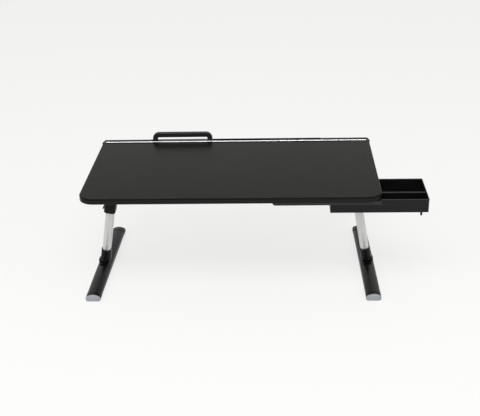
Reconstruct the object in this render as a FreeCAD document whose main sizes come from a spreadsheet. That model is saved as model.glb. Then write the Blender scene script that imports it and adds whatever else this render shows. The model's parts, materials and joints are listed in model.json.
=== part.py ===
import FreeCAD, Part
import os
import re
import Sketcher
from FreeCAD import Placement, Rotation, Vector

# Folding laptop table for bed or sofa, with a drawer that slides out to the right and two
# pull-up stoppers along the far edge. Millimetres, Z up, floor at Z = 0, far edge at +Y.
# It stands open and level at its lowest height, with the drawer pulled out and the left
# stopper raised. A leg's own parts are drawn with +X pointing outboard.

sizes = {
    # tabletop
    "top_length": 600,
    "top_depth": 332,
    "top_thickness": 12.1,
    "top_height": 240,
    "front_corner": 31,
    "rear_corner": 6,
    "edge_round": 2,
    # general fits
    "overrun": 5,
    "seat_gap": 0.1,
    "shaft_gap": 0.05,
    "run_gap": 0.4,
    # countersunk wood screw
    "screw_radius": 1.5,
    "screw_head_radius": 3,
    "screw_head_height": 1.6,
    "screw_bite": 8,
    # margin behind the metal strip, which holds the well of the stoppers
    "margin_depth": 14,
    "well_reach": 192.8,
    "well_wall": 1.5,
    "well_floor": 1.5,
    "well_lip_width": 10,
    "well_lip_thickness": 3,
    "well_screw_near": 60,
    "well_screw_far": 165,
    # stopper: a flat loop with a foot plate that closes the well when it is up
    "stopper_length": 135,
    "stopper_rise": 19.5,
    "stopper_bar": 11.5,
    "stopper_leg": 11.2,
    "stopper_depth": 9.6,
    "stopper_plate": 6,
    "stopper_stow": 2,
    "stopper_corner": 14,
    "stopper_inner_corner": 3,
    "stopper_edge": 2.6,
    "stopper_floor_gap": 0.5,
    "stopper_end_gap": 4,
    # metal strip and its two plastic ends
    "strip_width": 8,
    "strip_thickness": 3,
    "strip_raise": 0.4,
    "strip_gap": 2.4,
    "strip_edge": 0.9,
    "strip_end_length": 7,
    "strip_end_proud": 0.3,
    "strip_end_reach": 1.2,
    # drawer, hung by its rim between two rails
    "drawer_length": 193.5,
    "drawer_width": 102,
    "drawer_depth": 28,
    "drawer_wall": 1.6,
    "drawer_floor": 2,
    "drawer_corner": 2.5,
    "drawer_inner_corner": 2,
    "drawer_rim_lip": 2.4,
    "drawer_rim_thickness": 2.5,
    "drawer_rim_gap": 1.9,
    "drawer_open_reach": 92.2,
    "drawer_travel": 120,
    "drawer_ear_length": 8,
    "drawer_ear_width": 2,
    "divider_offset": 12.8,
    "divider_thickness": 5,
    "divider_drop": 1.5,
    "peg_radius": 2.2,
    "peg_length": 10,
    "peg_inset": 13.3,
    "peg_offset": 43,
    "peg_tip": 1,
    # drawer rails
    "rail_height": 7.9,
    "rail_web": 7,
    "rail_leg_gap": 3.2,
    "rail_setback": 2,
    "rail_tail": 21.5,
    "rail_chamfer": 3.5,
    "rail_screw_inset": 12,
    # leg, seen from the end: it leans outwards from the fold pin to the foot
    "lean_angle": 9.5,
    "toe_angle": 0.9,
    "pin_reach": 255.7,
    "pin_drop": 16.9,
    "pin_radius": 3,
    "pin_head_radius": 4.6,
    "pin_head_height": 1.8,
    # fold bracket under the tabletop
    "plate_inboard": 20,
    "plate_outboard": 24,
    "plate_reach": 29,
    "plate_thickness": 3.5,
    "plate_corner": 6,
    "plate_screw_inset": 6,
    "ear_radius": 9,
    "ear_thickness": 4,
    "stop_gap": 0.3,
    "stop_thickness": 3.5,
    # fold knuckle, with the fork of the tilt joint
    "knuckle_width": 20,
    "knuckle_radius": 8,
    "bridge_low": 13.2,
    "tilt_drop": 24,
    "cheek_radius": 11.5,
    "cheek_thickness": 5,
    "button_cheek_thickness": 9,
    "tongue_radius": 10,
    "tongue_thickness": 9,
    "axle_radius": 3,
    "axle_head_radius": 5,
    "axle_head_height": 2.6,
    # tilt button and its spring
    "button_radius": 7,
    "button_well": 6.5,
    "button_proud": 2.5,
    "button_length": 6.3,
    "button_wall": 1.2,
    "button_cap": 2,
    "button_edge": 0.8,
    "spring_radius": 4.6,
    "spring_tip_radius": 3.2,
    "spring_wall": 0.8,
    # tilt head, which holds the inner tube
    "head_top": 39,
    "head_bottom": 49.5,
    "head_width": 21,
    "head_depth": 27.5,
    "head_corner_share": 0.4,
    "head_roof": 2,
    "rivet_radius": 1.6,
    "rivet_drop": 45,
    # oval tubes
    "tube_round_share": 0.46,
    "outer_tube_width": 18.6,
    "outer_tube_depth": 24,
    "outer_tube_wall": 1.5,
    "outer_tube_top": 60.7,
    "outer_tube_clearance": 5.7,
    "inner_tube_width": 14,
    "inner_tube_depth": 20.4,
    "inner_tube_wall": 1.3,
    "inner_tube_rise": 14,
    # clamp collar with its flip lever
    "collar_bottom": 75.2,
    "collar_inboard": 12,
    "collar_outboard": 12.8,
    "collar_depth": 32,
    "collar_corner": 6,
    "collar_soft": 3,
    "lever_drop": 55,
    "lever_reach": 10.6,
    "lever_pin_radius": 1,
    "lever_pin_length": 25,
    "lever_width": 11.4,
    "lever_length": 13.5,
    "lever_thickness": 2.6,
    "lever_eye": 2.2,
    "lever_throw": 0.4,
    "lever_splay": 20,
    "lever_tip": 1.5,
    "lever_recess": 10.2,
    "lever_recess_low": 71.5,
    "pad_window": 5.8,
    "pad_thickness": 0.8,
    "pad_height": 5,
    "pad_width": 8,
    # foot
    "foot_length": 330,
    "foot_shift": 10.9,
    "foot_width": 30.6,
    "foot_height": 17.8,
    "foot_side": 12.3,
    "foot_end_drop": 3.8,
    "foot_wall": 2.2,
    "foot_soft": 4,
    "foot_pad_thickness": 1.2,
    "foot_pad_length": 42,
    "foot_pad_width": 18,
    "foot_pad_inset": 44,
    "foot_collar_length": 18.5,
    "foot_collar_proud": 0.3,
    "foot_collar_end": 2,
    "foot_cap_thickness": 4,
    "foot_cap_edge": 3.5,
    # socket between the outer tube and the foot
    "socket_grip": 23,
    "socket_wall": 1.8,
    "socket_flange_width": 21,
    "socket_flange_depth": 50,
    "socket_flange_rise": 1.8,
    "socket_flange_corner": 6,
    "socket_skirt": 4.2,
    "socket_base_width": 24.5,
    "socket_base_shift": 1.3,
    "socket_base_depth": 28,
    "socket_base_corner": 8,
    "socket_base_rise": 9,
    "socket_base_slope": 5,
    "socket_screw_offset": 8,
    "socket_screw_bite": 4,
}

doc = FreeCAD.newDocument("laptop_table")
sheet = doc.addObject("Spreadsheet::Sheet", "Sizes")
for row, (alias, number) in enumerate(sizes.items(), 1):
    sheet.set(f"A{row}", alias)
    sheet.set(f"B{row}", str(number))
    sheet.setAlias(f"B{row}", alias)
doc.recompute()

# How near two places or two ways must be to count as the same
same_place = 1e-4
same_way = 1e-6

parts = []
turns = {
    "x": Rotation(Vector(0, 1, 0), 90),
    "y": Rotation(Vector(1, 0, 0), -90),
    "z": Rotation(),
}


def bind(text):
    """The formula with every size pointed at its cell in the sheet."""
    return re.sub(r"[a-z_]+", lambda w: f"Sizes.{w[0]}" if w[0] in sizes else w[0], text)


def value(text):
    """What a formula comes to now."""
    return float(sheet.evalExpression(bind(text)))


def box(name, x, y, z):
    """A block between two formulas on each axis."""
    block = doc.addObject("Part::Box", name)
    for side, axis, (low, high) in zip(("Length", "Width", "Height"), "xyz", (x, y, z)):
        block.setExpression(side, bind(f"({high}) - ({low})"))
        block.setExpression(f"Placement.Base.{axis}", bind(low))
    return block


def rod(name, axis, radius, ends, middle=("0", "0")):
    """A round bar along one axis. The middle gives its place on the other two, in x, y, z order."""
    bar = doc.addObject("Part::Cylinder", name)
    bar.Placement = Placement(Vector(), turns[axis])
    bar.setExpression("Radius", bind(radius))
    bar.setExpression("Height", bind(f"({ends[1]}) - ({ends[0]})"))
    bar.setExpression(f"Placement.Base.{axis}", bind(ends[0]))
    for other, place in zip("xyz".replace(axis, ""), middle):
        bar.setExpression(f"Placement.Base.{other}", bind(place))
    return bar


def fuse(name, pieces):
    """Several solids joined into one."""
    joined = doc.addObject("Part::MultiFuse", name)
    joined.Shapes = pieces
    return joined


def cut(name, base, tools):
    """The base with every tool taken out of it."""
    result = doc.addObject("Part::Cut", name)
    result.Base = base
    result.Tool = tools[0] if len(tools) == 1 else fuse(f"{name}_tools", tools)
    return result


def group(name, pieces):
    """Pieces that stay separate solids and are set in place together."""
    together = doc.addObject("Part::Compound", name)
    together.Links = pieces
    return together


def along(edge, axis):
    """True for a straight edge parallel to an axis."""
    if not isinstance(edge.Curve, (Part.Line, Part.LineSegment)):
        return False
    way = edge.tangentAt(edge.FirstParameter)
    return abs(abs(way.dot(Vector(*(other == axis for other in "xyz")))) - 1) < same_way


def level_at(edge, place):
    """True for an edge that lies at one height."""
    box_of_edge = edge.BoundBox
    return abs(box_of_edge.ZMin - place) < same_place and abs(box_of_edge.ZMax - place) < same_place


def soften(name, base, radius, wanted, kind="Part::Fillet"):
    """The base with its wanted edges rounded, or bevelled when the kind is Part::Chamfer."""
    doc.recompute()
    soft = doc.addObject(kind, name)
    soft.Base = base
    size = value(radius)
    chosen = [n for n, edge in enumerate(base.Shape.Edges, 1) if wanted(edge)]
    soft.Edges = [(n, size, size) for n in chosen]
    return soft


def outline(body, name, plane, points):
    """A closed sketch of straight lines through points given as formulas."""
    sketch = body.newObject("Sketcher::SketchObject", name)
    origin_plane = next(f for f in body.Origin.OriginFeatures if f.Role == plane)
    sketch.AttachmentSupport = [(origin_plane, "")]
    sketch.MapMode = "FlatFace"
    corners = [Vector(value(across), value(up), 0) for across, up in points]
    count = len(points)
    for n in range(count):
        sketch.addGeometry(Part.LineSegment(corners[n], corners[(n + 1) % count]), False)
    for n in range(count):
        sketch.addConstraint(Sketcher.Constraint("Coincident", n, 2, (n + 1) % count, 1))
    for n, (across, up) in enumerate(points):
        for kind, formula, start in (("DistanceX", across, corners[n].x),
                                     ("DistanceY", up, corners[n].y)):
            added = sketch.addConstraint(Sketcher.Constraint(kind, -1, 1, n, 1, start))
            sketch.setExpression(f"Constraints[{added}]", bind(formula))
    return sketch


def crown(sketch, line, half_width, sagitta, top):
    """Puts an arc over a sketch in place of one straight line, rising to the top."""
    ends = sketch.Geometry[line].StartPoint, sketch.Geometry[line].EndPoint
    radius = f"(({half_width}) ^ 2 + ({sagitta}) ^ 2) / (2 * ({sagitta}))"
    arc = Part.Arc(ends[0], Vector(0, value(top), 0), ends[1])
    added = sketch.addGeometry(arc, False)
    sketch.toggleConstruction(line)
    sketch.addConstraint(Sketcher.Constraint("Coincident", added, 1, line, 1))
    sketch.addConstraint(Sketcher.Constraint("Coincident", added, 2, line, 2))
    round_size = sketch.addConstraint(Sketcher.Constraint("Radius", added, value(radius)))
    sketch.setExpression(f"Constraints[{round_size}]", bind(radius))


def pad(body, sketch, length, both_ways=False):
    """Thickens a sketch, to one side or evenly to both."""
    feature = body.newObject("PartDesign::Pad", f"{body.Name}_pad")
    feature.Profile = sketch
    feature.setExpression("Length", bind(length))
    feature.SideType = "Symmetric" if both_ways else "One side"
    doc.recompute()
    return feature


def round_edges(body, base, radius, wanted, name):
    """A fillet inside a body, on the edges that are wanted."""
    feature = body.newObject("PartDesign::Fillet", f"{body.Name}_{name}")
    edges = [f"Edge{n}" for n, edge in enumerate(base.Shape.Edges, 1) if wanted(edge)]
    feature.Base = (base, edges)
    feature.setExpression("Radius", bind(radius))
    doc.recompute()
    return feature


def upright_bar(name, x, y, z, corner):
    """A bar standing along Z whose four upright edges are rounded."""
    body = doc.addObject("PartDesign::Body", name)
    places = [(x[0], y[0]), (x[1], y[0]), (x[1], y[1]), (x[0], y[1])]
    sketch = outline(body, f"{name}_outline", "XY_Plane", places)
    sketch.setExpression("AttachmentOffset.Base.z", bind(z[0]))
    solid = pad(body, sketch, f"({z[1]}) - ({z[0]})")
    round_edges(body, solid, corner, lambda edge: along(edge, "z"), "corners")
    return body


def either(size):
    """From minus to plus half of a size."""
    return f"-({size}) / 2", f"({size}) / 2"


def screw(name, x, y, low, length, gap="0"):
    """A countersunk screw standing on its head, or with a gap the hole that it needs."""
    head = doc.addObject("Part::Cone", f"{name}_head")
    head.setExpression("Radius1", bind(f"screw_head_radius + {gap}"))
    head.setExpression("Radius2", bind(f"screw_radius + {gap}"))
    head.setExpression("Height", bind("screw_head_height"))
    for axis, place in zip("xyz", (x, y, low)):
        head.setExpression(f"Placement.Base.{axis}", bind(place))
    shank_ends = (f"{low} + screw_head_height", f"{low} + {length} + {gap}")
    shank = rod(f"{name}_shank", "z", f"screw_radius + {gap}", shank_ends, (x, y))
    return fuse(name, [head, shank])


def keep(thing, label, placement):
    """Names a finished sub-part and sets it in place."""
    thing.Label = label
    thing.Placement = placement
    parts.append(thing)


# Heights and places that several pieces share
underside = "(top_height - top_thickness)"
far_edge = "(top_depth / 2)"
margin_start = f"({far_edge} - margin_depth)"
pin_height = f"({underside} - pin_drop)"
foot_top = "(foot_pad_thickness + foot_height)"
seat_height = f"({foot_top} - socket_skirt)"
leg_run = f"(({pin_height} - {foot_top}) / cos(lean_angle * 1 deg))"
outer_tube_bottom = f"({leg_run} - outer_tube_clearance)"
inner_tube_bottom = f"({outer_tube_bottom} - inner_tube_rise)"
socket_top = f"({outer_tube_bottom} - socket_grip)"
foot_reach = f"(pin_reach + ({pin_height} - {seat_height}) * tan(lean_angle * 1 deg))"
drawer_outer_end = "(top_length / 2 + drawer_open_reach)"
drawer_inner_end = f"({drawer_outer_end} - drawer_length)"
drawer_top = f"({underside} - drawer_rim_gap)"
drawer_low = f"({drawer_top} - drawer_depth)"
rim_half = "(drawer_width / 2 + drawer_rim_lip)"
web_inner = f"({rim_half} + drawer_ear_width + run_gap)"
web_outer = f"({web_inner} + rail_web)"
drawer_line = f"(-plate_reach - rail_leg_gap - {web_outer})"

# The origin is on the floor, under the middle of everything: across from the left foot's front
# end to the open drawer, and in depth from the board's front edge to the feet's rear ends
foot_half = "(foot_width / 2 + foot_collar_proud)"
left_reach = value(f"{foot_reach} + (foot_length / 2 - foot_shift) * sin(toe_angle * 1 deg)"
                   f" + {foot_half} * cos(toe_angle * 1 deg)")
right_reach = value(drawer_outer_end)
rear_reach = value(f"(foot_length / 2 + foot_shift) * cos(toe_angle * 1 deg)"
                   f" + {foot_half} * sin(toe_angle * 1 deg)")
front_reach = value(far_edge)
origin = Placement(Vector((left_reach - right_reach) / 2, (front_reach - rear_reach) / 2, 0),
                   Rotation())


def board_screw_places():
    """Every screw that goes up into the board: its place and the height of its head."""
    places = []
    for side in ("-1", "1"):
        for x in ("-plate_inboard + plate_screw_inset", "plate_outboard - plate_screw_inset"):
            for y in ("-1", "1"):
                places.append((f"{side} * (pin_reach + {x})",
                               f"{y} * (plate_reach - plate_screw_inset)",
                               f"({underside} - plate_thickness)"))
    for side in ("-1", "1"):
        for x in rail_screw_places:
            places.append((x, rail_screw_line(side), f"({underside} - rail_height)"))
    for x in well_screw_places:
        places.append((x, well_screw_line, f"({underside} - well_lip_thickness)"))
    return places


# Rails: one each side of the drawer, drawn for the back and turned over for the front
rail_start = "(top_length / 2 - drawer_length - rail_tail - stop_gap)"
rail_end = "(top_length / 2 - rail_setback)"
rail_screw_places = [
    f"{rail_start} + rail_screw_inset",
    f"({rail_start} + {rail_end}) / 2",
    f"{rail_end} - rail_screw_inset",
]


def rail_screw_line(side):
    """The line of a rail's screws, at the middle of its web."""
    return f"{drawer_line} + {side} * ({web_inner} + {web_outer}) / 2"


well_screw_places = ["-well_screw_far", "-well_screw_near", "well_screw_near", "well_screw_far"]
well_screw_line = f"({margin_start} - well_lip_width / 2)"


def make_board():
    """The board: rounded corners and edges, a notch for the well, a groove for the strip."""
    body = doc.addObject("PartDesign::Body", "board_body")
    half_length, half_depth = "top_length / 2", "top_depth / 2"
    corners = [(f"-{half_length}", f"-{half_depth}"), (half_length, f"-{half_depth}"),
               (half_length, half_depth), (f"-{half_length}", half_depth)]
    sketch = outline(body, "board_outline", "XY_Plane", corners)
    sketch.setExpression("AttachmentOffset.Base.z", bind(underside))
    slab = pad(body, sketch, "top_thickness")
    front = round_edges(body, slab, "front_corner",
                        lambda edge: along(edge, "z") and edge.BoundBox.YMax < 0, "front")
    rear = round_edges(body, front, "rear_corner",
                       lambda edge: along(edge, "z") and edge.BoundBox.YMin > value(margin_start)
                       and edge.Vertexes[0].Y == edge.Vertexes[1].Y
                       and abs(edge.Vertexes[0].Y - value(half_depth)) < same_place, "rear")
    high, low = value("top_height"), value(underside)
    round_edges(body, rear, "edge_round",
                lambda edge: level_at(edge, high) or level_at(edge, low), "rims")
    above = "top_height + overrun"
    notch = box("board_notch", ("-well_reach - seat_gap", "well_reach + seat_gap"),
                (f"{margin_start} - seat_gap", f"{far_edge} + overrun"),
                (f"{underside} - overrun", above))
    groove = box("board_groove", ("-top_length / 2 - overrun", "top_length / 2 + overrun"),
                 (f"{margin_start} - seat_gap - strip_width - strip_gap", margin_start),
                 ("top_height - strip_thickness + strip_raise", above))
    holes = [screw(f"board_hole_{n}", x, y, low_end, f"{underside} + screw_bite - {low_end}",
                   "seat_gap")
             for n, (x, y, low_end) in enumerate(board_screw_places())]
    keep(cut("board", body, [notch, groove] + holes), "tabletop_board", origin)


def make_strip():
    """The bright strip in its groove, and a small plastic end at each side of the board."""
    low = "top_height - strip_thickness + strip_raise"
    high = "top_height + strip_raise"
    back = f"({margin_start} - seat_gap)"
    reach = "(top_length / 2 - strip_end_length)"
    bar = box("strip_bar", (f"-{reach}", reach), (f"{back} - strip_width", back), (low, high))
    top = value(high)
    keep(soften("strip", bar, "strip_edge",
                lambda edge: along(edge, "x") and level_at(edge, top)), "edge_strip", origin)
    for hand, side in (("left", -1), ("right", 1)):
        end = box(f"strip_end_{hand}_block", (reach, "top_length / 2 + strip_end_reach"),
                  (f"{back} - strip_width - strip_gap / 2", back),
                  (low, f"{high} + strip_end_proud"))
        soft_top = value(f"{high} + strip_end_proud")
        soft = soften(f"strip_end_{hand}", end, "strip_edge", lambda edge: level_at(edge, soft_top))
        turn = Rotation() if side > 0 else Rotation(Vector(0, 0, 1), 180)
        middle = value(f"2 * {back} - strip_width - strip_gap / 2") if side < 0 else 0
        keep(soft, f"edge_strip_end_{hand}", origin * Placement(Vector(0, middle, 0), turn))


stopper_height = "(stopper_rise + stopper_plate)"
well_low = f"(top_height - stopper_stow - {stopper_height} - stopper_floor_gap)"


def make_well():
    """The black well in the margin, open upwards, with a lip screwed under the board."""
    reach = "well_reach"
    shell = box("well_shell", (f"-{reach}", reach), (margin_start, far_edge),
                (f"{well_low} - well_floor", "top_height"))
    lip = box("well_lip", (f"-{reach}", reach), (f"{margin_start} - well_lip_width", margin_start),
              (f"{underside} - well_lip_thickness", underside))
    wall = "(margin_depth - stopper_depth) / 2 - run_gap"
    hollow = box("well_hollow", (f"-{reach} + well_wall", f"{reach} - well_wall"),
                 (f"{margin_start} + {wall}", f"{far_edge} - ({wall})"),
                 (well_low, "top_height + overrun"))
    holes = [screw(f"well_hole_{n}", x, well_screw_line, f"({underside} - well_lip_thickness)",
                   "well_lip_thickness + screw_bite", "seat_gap")
             for n, x in enumerate(well_screw_places)]
    keep(cut("well", fuse("well_outside", [shell, lip]), [hollow] + holes),
         "stopper_well", origin)
    screws = [screw(f"well_screw_{n}", x, well_screw_line, f"({underside} - well_lip_thickness)",
                    "well_lip_thickness + screw_bite")
              for n, x in enumerate(well_screw_places)]
    keep(group("well_screws", screws), "stopper_well_screws", origin)


def make_stopper(hand, side, raised):
    """One stopper: a flat loop whose foot plate is flush with the table when it is up."""
    outside = box(f"stopper_{hand}_outside", ("0", "stopper_length"), either("stopper_depth"),
                  ("-stopper_plate", "stopper_rise"))
    top = value("stopper_rise")
    arched = soften(f"stopper_{hand}_arch", outside, "stopper_corner",
                    lambda edge: along(edge, "y") and level_at(edge, top))
    gap = box(f"stopper_{hand}_gap", ("stopper_leg", "stopper_length - stopper_leg"),
              ("-stopper_depth", "stopper_depth"), ("0", "stopper_rise - stopper_bar"))
    gap_top = value("stopper_rise - stopper_bar")
    soft_gap = soften(f"stopper_{hand}_soft_gap", gap, "stopper_inner_corner",
                      lambda edge: along(edge, "y") and level_at(edge, gap_top))
    loop = cut(f"stopper_{hand}_loop", arched, [soft_gap])
    plate = -value("stopper_plate")
    soft = soften(f"stopper_{hand}", loop, "stopper_edge",
                  lambda edge: not along(edge, "y") and not level_at(edge, plate)
                  and not level_at(edge, 0) and edge.BoundBox.ZMax > -same_way
                  and edge.BoundBox.YLength < same_place)
    x = value("well_reach") - value("well_wall + stopper_end_gap") - value("stopper_length")
    x = x if side > 0 else -x - value("stopper_length")
    z = value("top_height") if raised else value("top_height - stopper_stow - stopper_rise")
    y = value(f"{far_edge} - margin_depth / 2")
    keep(soft, f"stopper_{hand}", origin * Placement(Vector(x, y, z), Rotation()))


def make_drawer():
    """The two-compartment tray, with a hanging rim, two stop ears and a finger peg."""
    side_walls = either("drawer_width")
    shell = upright_bar("tray_shell", ("0", "drawer_length"), side_walls,
                        ("-drawer_depth", "0"), "drawer_corner")
    rim = upright_bar("tray_rim", ("0", "drawer_length"), either(f"2 * {rim_half}"),
                      ("-drawer_rim_thickness", "0"), "drawer_corner")
    ears = box("tray_ears", ("0", "drawer_ear_length"),
               either(f"2 * ({rim_half} + drawer_ear_width)"), ("-drawer_rim_thickness", "0"))
    tray = fuse("tray_outside", [shell, rim, ears])
    inside = ("drawer_wall", "drawer_length - drawer_wall")
    divider_low = "-divider_offset - divider_thickness / 2"
    divider_high = "-divider_offset + divider_thickness / 2"
    rooms = []
    for name, y in (("front", ("-drawer_width / 2 + drawer_wall", divider_low)),
                    ("back", (divider_high, "drawer_width / 2 - drawer_wall"))):
        rooms.append(upright_bar(f"tray_room_{name}", inside, y,
                                 ("-drawer_depth + drawer_floor", "overrun"),
                                 "drawer_inner_corner"))
    step = box("tray_divider_step", inside, (f"{divider_low} - overrun / 2",
                                             f"{divider_high} + overrun / 2"),
               ("-divider_drop", "overrun"))
    place = Placement(Vector(value(drawer_inner_end), value(drawer_line), value(drawer_top)),
                      Rotation())
    keep(cut("tray", tray, rooms + [step]), "drawer_tray", origin * place)

    peg = rod("peg_bar", "z", "peg_radius", ("-drawer_depth - peg_length", "-drawer_depth"),
              ("drawer_length - peg_inset", "-peg_offset"))
    tip = value("-drawer_depth - peg_length")
    keep(soften("peg", peg, "peg_tip", lambda edge: level_at(edge, tip)),
         "drawer_pull_peg", origin * place)


def make_rails():
    """Two rails with a lip under the drawer's rim, a stop at the tail and one near the mouth."""
    low, high = f"{underside} - rail_height", underside
    lip_top = f"{drawer_top} - drawer_rim_thickness - run_gap"
    lip_inner = "(drawer_width / 2 + run_gap)"
    tail_end = "(top_length / 2 - drawer_length - stop_gap)"
    stop_start = f"({drawer_inner_end} + drawer_ear_length + drawer_travel - drawer_open_reach + stop_gap)"
    for hand, side in (("front", -1), ("back", 1)):
        name = f"rail_{hand}"
        web = box(f"{name}_web", (rail_start, rail_end), (web_inner, web_outer), (low, high))
        lip = box(f"{name}_lip", (rail_start, rail_end), (lip_inner, web_inner), (low, lip_top))
        tail = box(f"{name}_tail", (rail_start, tail_end), (lip_inner, web_inner), (low, high))
        stop = box(f"{name}_stop", (stop_start, rail_end),
                   (f"{rim_half} + run_gap", web_inner), (low, high))
        start, bottom = value(rail_start), value(low)
        solid = fuse(f"{name}_solid", [web, lip, tail, stop])
        if side < 0:
            mirror = doc.addObject("Part::Mirroring", f"{name}_mirror")
            mirror.Source = solid
            mirror.Normal = Vector(0, 1, 0)
            solid = mirror
        bevel = soften(f"{name}_bevel", solid, "rail_chamfer",
                       lambda edge: along(edge, "y") and level_at(edge, bottom)
                       and abs(edge.BoundBox.XMin - start) < same_place, "Part::Chamfer")
        line = f"{side} * ({web_inner} + {web_outer}) / 2"
        holes = [screw(f"{name}_hole_{n}", x, line, f"({low})", "rail_height + overrun", "seat_gap")
                 for n, x in enumerate(rail_screw_places)]
        place = Placement(Vector(0, value(drawer_line), 0), Rotation())
        keep(cut(name, bevel, holes), f"drawer_rail_{hand}", origin * place)
    screws = [screw(f"rail_screw_{n}_{side}", x, rail_screw_line(side), f"({low})",
                    "rail_height + screw_bite")
              for side in ("-1", "1") for n, x in enumerate(rail_screw_places)]
    keep(group("rail_screws", screws), "drawer_rail_screws", origin)


# The tilt joint's axis, counted from the fold pin: outboard and up
tilt_x = "(tilt_drop * sin(lean_angle * 1 deg))"
tilt_z = "(-tilt_drop * cos(lean_angle * 1 deg))"
tongue_face = "(tongue_thickness / 2)"
inner_cheek = (f"{tilt_x} - {tongue_face} - stop_gap - cheek_thickness",
               f"{tilt_x} - {tongue_face} - stop_gap")
outer_cheek = (f"{tilt_x} + {tongue_face} + stop_gap",
               f"{tilt_x} + {tongue_face} + stop_gap + button_cheek_thickness")
button_floor = f"({outer_cheek[1]} - button_well)"
tube_round = "tube_round_share * "


def leg_frames(side):
    """Where a leg's upright, leaning, socket and foot parts are counted from, +X outboard."""
    turn = Rotation() if side > 0 else Rotation(Vector(0, 0, 1), 180)
    pin = Placement(Vector(side * value("pin_reach"), 0, value(pin_height)), turn)
    lean = Placement(Vector(), Rotation(Vector(0, 1, 0), -value("lean_angle")))
    toe = Placement(Vector(), Rotation(Vector(0, 0, 1), side * value("toe_angle")))
    under_leg = Placement(Vector(side * value(foot_reach), 0, 0), turn) * toe
    to_middle = Placement(Vector(0, side * value("foot_shift"), 0), Rotation())
    return [origin * place for place in (pin, pin * lean, under_leg, under_leg * to_middle)]


def make_bracket(hand, upright):
    """The bracket under the board: plate, two ears and the stop that the open leg leans on."""
    name = f"bracket_{hand}"
    plate_low = "pin_drop - plate_thickness"
    plate = upright_bar(f"{name}_plate", ("-plate_inboard", "plate_outboard"),
                        ("-plate_reach", "plate_reach"), (plate_low, "pin_drop"), "plate_corner")
    ear_inner = "(knuckle_width / 2 + run_gap)"
    ear_outer = f"({ear_inner} + ear_thickness)"
    solids = [plate]
    for end, y in (("near", (f"-{ear_outer}", f"-{ear_inner}")), ("far", (ear_inner, ear_outer))):
        solids.append(box(f"{name}_ear_{end}", ("-ear_radius", "ear_radius"), y, ("0", plate_low)))
        solids.append(rod(f"{name}_eye_{end}", "y", "ear_radius", y))
    stop = ("knuckle_radius + stop_gap", "knuckle_radius + stop_gap + stop_thickness")
    solids.append(box(f"{name}_stop", stop, (f"-{ear_outer}", ear_outer),
                      ("-knuckle_radius + stop_gap", plate_low)))
    tools = [rod(f"{name}_bore", "y", "pin_radius + shaft_gap",
                 (f"-{ear_outer} - overrun", f"{ear_outer} + overrun"))]
    places = [(x, y) for x in ("-plate_inboard + plate_screw_inset",
                               "plate_outboard - plate_screw_inset")
              for y in ("-plate_reach + plate_screw_inset", "plate_reach - plate_screw_inset")]
    for n, (x, y) in enumerate(places):
        tools.append(screw(f"{name}_hole_{n}", x, y, f"({plate_low})",
                           "plate_thickness + overrun", "seat_gap"))
    keep(cut(name, fuse(f"{name}_solid", solids), tools), f"fold_bracket_{hand}", upright)
    screws = [screw(f"{name}_screw_{n}", x, y, f"({plate_low})", "plate_thickness + screw_bite")
              for n, (x, y) in enumerate(places)]
    keep(group(f"{name}_screws", screws), f"bracket_screws_{hand}", upright)

    shank = rod(f"pin_{hand}_shank", "y", "pin_radius", (f"-{ear_outer} - pin_head_height", ear_outer))
    head = rod(f"pin_{hand}_head", "y", "pin_head_radius",
               (ear_outer, f"{ear_outer} + pin_head_height"))
    keep(fuse(f"pin_{hand}", [shank, head]), f"fold_pin_{hand}", upright)


def make_knuckle(hand, upright):
    """The knuckle that turns on the fold pin and carries the tilt joint's fork and button."""
    name = f"knuckle_{hand}"
    width = either("knuckle_width")
    neck_reach = "knuckle_radius"
    solids = [
        rod(f"{name}_barrel", "y", "knuckle_radius", width),
        box(f"{name}_neck", (f"-{neck_reach}", neck_reach), width, ("-bridge_low", "0")),
        box(f"{name}_bridge", (inner_cheek[0], outer_cheek[1]), width,
            ("-bridge_low", "-knuckle_radius")),
    ]
    for end, x in (("inner", inner_cheek), ("outer", outer_cheek)):
        solids.append(rod(f"{name}_{end}_disc", "x", "cheek_radius", x, ("0", tilt_z)))
        solids.append(box(f"{name}_{end}_web", x, width, (tilt_z, "-knuckle_radius")))
    half = "knuckle_width"
    tools = [
        rod(f"{name}_pin_bore", "y", "pin_radius + shaft_gap", (f"-{half}", half)),
        rod(f"{name}_axle_bore", "x", "axle_radius + shaft_gap",
            (f"{inner_cheek[0]} - overrun", f"{outer_cheek[1]} + overrun"), ("0", tilt_z)),
        rod(f"{name}_button_well", "x", "button_radius + stop_gap",
            (button_floor, f"{outer_cheek[1]} + overrun"), ("0", tilt_z)),
    ]
    keep(cut(name, fuse(f"{name}_solid", solids), tools), f"fold_knuckle_{hand}", upright)

    shank = rod(f"axle_{hand}_shank", "x", "axle_radius", (inner_cheek[0], button_floor),
                ("0", tilt_z))
    head = rod(f"axle_{hand}_head", "x", "axle_head_radius",
               (f"{inner_cheek[0]} - axle_head_height", inner_cheek[0]), ("0", tilt_z))
    keep(fuse(f"axle_{hand}", [shank, head]), f"tilt_axle_{hand}", upright)


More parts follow.
